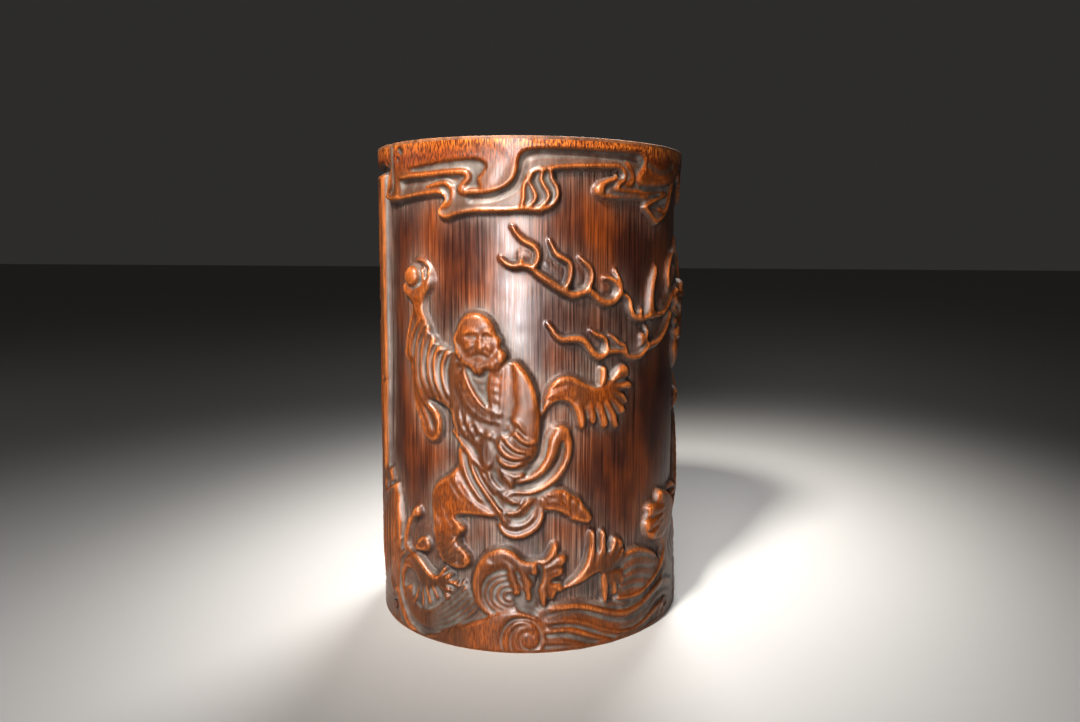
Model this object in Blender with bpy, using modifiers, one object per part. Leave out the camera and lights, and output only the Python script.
"""Carved bamboo brush pot: a section of bamboo culm carved in low relief all round, open at the
top, with a stepped wooden floor let into a rebate from below and held by three bamboo nails.

Frame: metres, +Z up, origin at the centre of the foot, carved front towards -Y.
Places on the wall are given as (along, up): the arc length from the middle of the front, measured
at the rim's radius and positive towards +X, and the height above the foot.
"""

import math

import bmesh
import bpy

MM = 0.001

# Driving dimensions of the culm.
HEIGHT = 145 * MM
RIM_RADIUS = 48 * MM
FOOT_RADIUS = 49 * MM
BORE_RADIUS = 40.5 * MM
CARVING_DEPTH = 2.2 * MM  # from the culm's old surface down to the smooth field
RIM_BAND = 5 * MM  # left uncarved under the lip
FOOT_BAND = 5 * MM  # left uncarved over the foot
EDGE = 0.8 * MM  # the softened edges of the lip and the foot

# The floor and its rebate.
FIT_GAP = 0.3 * MM
REBATE_RADIUS = 43.5 * MM
REBATE_HEIGHT = 8.5 * MM
FLOOR_UNDERSIDE = 2.2 * MM
FLOOR_TOP = 10.5 * MM
FLOOR_CHAMFER = 0.6 * MM

# The nails that hold the floor, driven in from outside.
NAIL_COUNT = 3
NAIL_FIRST_ANGLE = math.radians(90)  # the first one is at the back, at +Y
NAIL_HEIGHT = 5.2 * MM
NAIL_HEAD_RADIUS = 1.2 * MM
NAIL_TIP_RADIUS = 0.8 * MM
NAIL_HEAD_AT = FOOT_RADIUS - 0.5 * MM  # how far the head's end is from the pot's axis
NAIL_TIP_AT = 36 * MM

# How finely the round pieces are made.
WALL_STEPS = 112
WALL_ROWS = 29
FLOOR_STEPS = 64
NAIL_SIDES = 16

GIRTH = 2 * math.pi * RIM_RADIUS

# The relief's main masses, each as the points of its middle line and its half width, in mm.
MASSES = {
    "head": ([(-15.5, 92), (-14.5, 86)], 6),
    "raised_arm": ([(-37, 107), (-36, 95), (-28, 83)], 4),
    "hanging_sleeve": ([(-39, 90), (-36, 72), (-31, 64)], 4.5),
    "chest": ([(-16, 80), (-12, 62)], 9),
    "bent_arm": ([(-4, 81), (0, 70), (-4, 60)], 5),
    "skirt": ([(-14, 54), (-3, 42)], 7),
    "front_leg": ([(-18, 50), (-27, 43), (-24, 27)], 5),
    "back_leg": ([(3, 45), (17, 41)], 4.5),
    "sash_end": ([(2, 52), (8, 64)], 4.5),
    "flying_hem": ([(4, 71), (12, 78), (28, 73)], 6),
    "upper_flame": ([(-7, 113), (4, 107), (24, 102), (45, 99), (60, 108)], 3.5),
    "lower_flame": ([(6, 93), (18, 88), (33, 85), (56, 96)], 3.5),
    "cliff": ([(-61, 134), (-61, 40)], 5),
    "left_crest": ([(-48, 18), (-40, 30), (-30, 20)], 6),
    "middle_crest": ([(-14, 22), (-6, 28), (6, 22)], 6),
    "right_crest": ([(10, 21), (20, 27), (27, 22)], 6),
    "far_crest": ([(52, 12), (50, 28), (42, 35)], 5),
    "dragon_head": ([(60, 92), (76, 92)], 11),
    "dragon_neck": ([(76, 92), (96, 108), (118, 100)], 8),
    "dragon_body": ([(118, 100), (134, 76), (116, 54), (92, 58)], 8),
    "dragon_tail": ([(92, 58), (74, 50), (66, 34)], 5),
    "back_crest": ([(100, 12), (112, 28), (126, 18)], 7),
    "side_crest": ([(-84, 12), (-92, 28), (-104, 18)], 7),
    "pine_trunk": ([(-61, 60), (-84, 84), (-100, 112)], 5),
}
CLOUD_EDGE = 130  # the mean height of the cloud band's lower edge, in mm
CLOUD_SWING = 4
CLOUD_WAVES = 7
WAVE_EDGE = 14  # the mean height of the wave band's upper edge, in mm
WAVE_SWING = 3
WAVE_WAVES = 9
SHOULDER = 3  # the width of the slope at a mass's edge, in mm

CULM_COLOUR = (0.20, 0.045, 0.015)
FLOOR_COLOUR = (0.09, 0.03, 0.015)
NAIL_COLOUR = (0.30, 0.11, 0.035)


def clear_scene():
    for obj in list(bpy.data.objects):
        bpy.data.objects.remove(obj)


def new_collection(name):
    made = bpy.data.collections.new(name)
    bpy.context.scene.collection.children.link(made)
    return made


def new_material(name, colour, roughness):
    made = bpy.data.materials.new(name)
    made.use_nodes = True
    shader = made.node_tree.nodes["Principled BSDF"]
    shader.inputs["Base Color"].default_value = (*colour, 1)
    shader.inputs["Roughness"].default_value = roughness
    shader.inputs["Metallic"].default_value = 0
    made.diffuse_color = (*colour, 1)
    return made


def new_object(name, mesh, collection, material=None):
    obj = bpy.data.objects.new(name, mesh)
    collection.objects.link(obj)
    if material:
        mesh.materials.append(material)
    return obj


def turned(name, profile, closed, steps, collection, material):
    """A profile of (radius, height) points turned round Z and returned as a plain mesh object."""
    edges = [(i, i + 1) for i in range(len(profile) - 1)]
    if closed:
        edges.append((len(profile) - 1, 0))
    mesh = bpy.data.meshes.new(name + "_profile")
    mesh.from_pydata([(r, 0, z) for r, z in profile], edges, [])
    source = new_object(name + "_profile", mesh, collection)
    screw = source.modifiers.new("turn", "SCREW")
    screw.steps = screw.render_steps = steps
    screw.use_merge_vertices = True
    screw.merge_threshold = 0.01 * MM
    graph = bpy.context.evaluated_depsgraph_get()
    made = bpy.data.meshes.new_from_object(source.evaluated_get(graph))
    bpy.data.objects.remove(source)
    made.name = name
    return new_object(name, made, collection, material)


def shade(obj):
    obj.data.shade_smooth()
    obj.data.set_sharp_from_angle(angle=math.radians(35))


def skin_radius(up):
    """The radius of the culm's old, uncarved surface: it flares a little towards the foot."""
    return FOOT_RADIUS + (RIM_RADIUS - FOOT_RADIUS) * up / HEIGHT


def eased(value):
    """0 below 0, 1 above 1, and a smooth step between."""
    value = min(1, max(0, value))
    return value * value * (3 - 2 * value)


def distance_to_line(along, up, points):
    """How far a place on the wall is from a line of points, in mm, the shorter way round the pot."""
    girth = GIRTH / MM
    nearest = math.inf
    for (a0, u0), (a1, u1) in zip(points, points[1:]):
        a = (along - a0 + girth / 2) % girth - girth / 2
        da, u, du = a1 - a0, up - u0, u1 - u0
        t = min(1, max(0, (a * da + u * du) / (da * da + du * du)))
        nearest = min(nearest, math.hypot(a - t * da, u - t * du))
    return nearest


def relief(angle, up):
    """How much of the carving's depth still stands at a place on the wall, from 0 to 1."""
    up_mm = up / MM
    along_mm = angle * RIM_RADIUS / MM
    clouds = CLOUD_EDGE + CLOUD_SWING * math.sin(CLOUD_WAVES * angle)
    waves = WAVE_EDGE + WAVE_SWING * math.sin(WAVE_WAVES * angle)
    standing = max(eased((up_mm - clouds) / SHOULDER), eased((waves - up_mm) / SHOULDER))
    for points, half_width in MASSES.values():
        inside = half_width - distance_to_line(along_mm, up_mm, points)
        standing = max(standing, eased(inside / SHOULDER + 0.5))
    return standing


def carve(wall):
    """Takes the outside of the wall down to the field, except where the relief stands."""
    for vertex in wall.data.vertices:
        x, y, up = vertex.co
        radius = math.hypot(x, y)
        if radius < REBATE_RADIUS + EDGE:
            continue
        if up < FOOT_BAND or up > HEIGHT - RIM_BAND:
            continue
        depth = CARVING_DEPTH * (1 - relief(math.atan2(x, -y), up))
        share = (skin_radius(up) - depth) / radius
        vertex.co.x = x * share
        vertex.co.y = y * share


def wall_profile():
    """The section of the culm's wall, down its outside and up its inside."""
    row = (HEIGHT - 2 * EDGE) / WALL_ROWS
    ups = [HEIGHT - EDGE - row * i for i in range(WALL_ROWS + 1)]
    outside = [(skin_radius(up), up) for up in ups]
    foot = [(FOOT_RADIUS - EDGE, 0), (REBATE_RADIUS, 0)]
    rebate = [(REBATE_RADIUS, REBATE_HEIGHT), (BORE_RADIUS, REBATE_HEIGHT)]
    lip = [
        (BORE_RADIUS, HEIGHT - EDGE),
        (BORE_RADIUS + EDGE, HEIGHT),
        (RIM_RADIUS - EDGE, HEIGHT),
    ]
    return outside + foot + rebate + lip


def floor_profile():
    """Half the section of the stepped floor, from the axis round its edge and back to the axis."""
    spigot = BORE_RADIUS - FIT_GAP
    flange = REBATE_RADIUS - FIT_GAP
    return [
        (0, FLOOR_TOP),
        (spigot - FLOOR_CHAMFER, FLOOR_TOP),
        (spigot, FLOOR_TOP - FLOOR_CHAMFER),
        (spigot, REBATE_HEIGHT - FIT_GAP),
        (flange, REBATE_HEIGHT - FIT_GAP),
        (flange, FLOOR_UNDERSIDE + FLOOR_CHAMFER),
        (flange - FLOOR_CHAMFER, FLOOR_UNDERSIDE),
        (0, FLOOR_UNDERSIDE),
    ]


def radial_rod(name, angle, inner_at, inner_radius, outer_at, outer_radius, collection):
    """A round rod that points at the pot's axis, from outer_at to inner_at, at the nails' height."""
    mesh = bpy.data.meshes.new(name)
    shape = bmesh.new()
    bmesh.ops.create_cone(
        shape,
        cap_ends=True,
        segments=NAIL_SIDES,
        radius1=inner_radius,
        radius2=outer_radius,
        depth=outer_at - inner_at,
    )
    shape.to_mesh(mesh)
    shape.free()
    rod = new_object(name, mesh, collection)
    middle = (outer_at + inner_at) / 2
    rod.location = (middle * math.cos(angle), middle * math.sin(angle), NAIL_HEIGHT)
    rod.rotation_euler = (0, math.radians(90), angle)
    return rod


def cut(obj, cutter):
    hole = obj.modifiers.new("nail_hole", "BOOLEAN")
    hole.operation = "DIFFERENCE"
    hole.solver = "EXACT"
    hole.object = cutter


def build():
    clear_scene()
    pot = new_collection("brush_pot")
    cutters = new_collection("cutters")
    culm = new_material("carved_bamboo", CULM_COLOUR, 0.4)
    board = new_material("floor_wood", FLOOR_COLOUR, 0.55)
    peg = new_material("nail_bamboo", NAIL_COLOUR, 0.5)

    wall = turned("culm_wall", wall_profile(), True, WALL_STEPS, pot, culm)
    carve(wall)
    shade(wall)
    floor = turned("floor_board", floor_profile(), False, FLOOR_STEPS, pot, board)
    shade(floor)

    for i in range(NAIL_COUNT):
        angle = NAIL_FIRST_ANGLE + math.tau * i / NAIL_COUNT
        nail = radial_rod(
            f"floor_nail_{i + 1}", angle, NAIL_TIP_AT, NAIL_TIP_RADIUS, NAIL_HEAD_AT, NAIL_HEAD_RADIUS, pot
        )
        nail.data.materials.append(peg)
        shade(nail)
        cutter = radial_rod(
            f"nail_cutter_{i + 1}",
            angle,
            NAIL_TIP_AT - FIT_GAP,
            NAIL_HEAD_RADIUS + FIT_GAP,
            FOOT_RADIUS + 2 * MM,
            NAIL_HEAD_RADIUS + FIT_GAP,
            cutters,
        )
        cutter.hide_render = True
        cutter.display_type = "WIRE"
        cut(wall, cutter)
        cut(floor, cutter)


build()
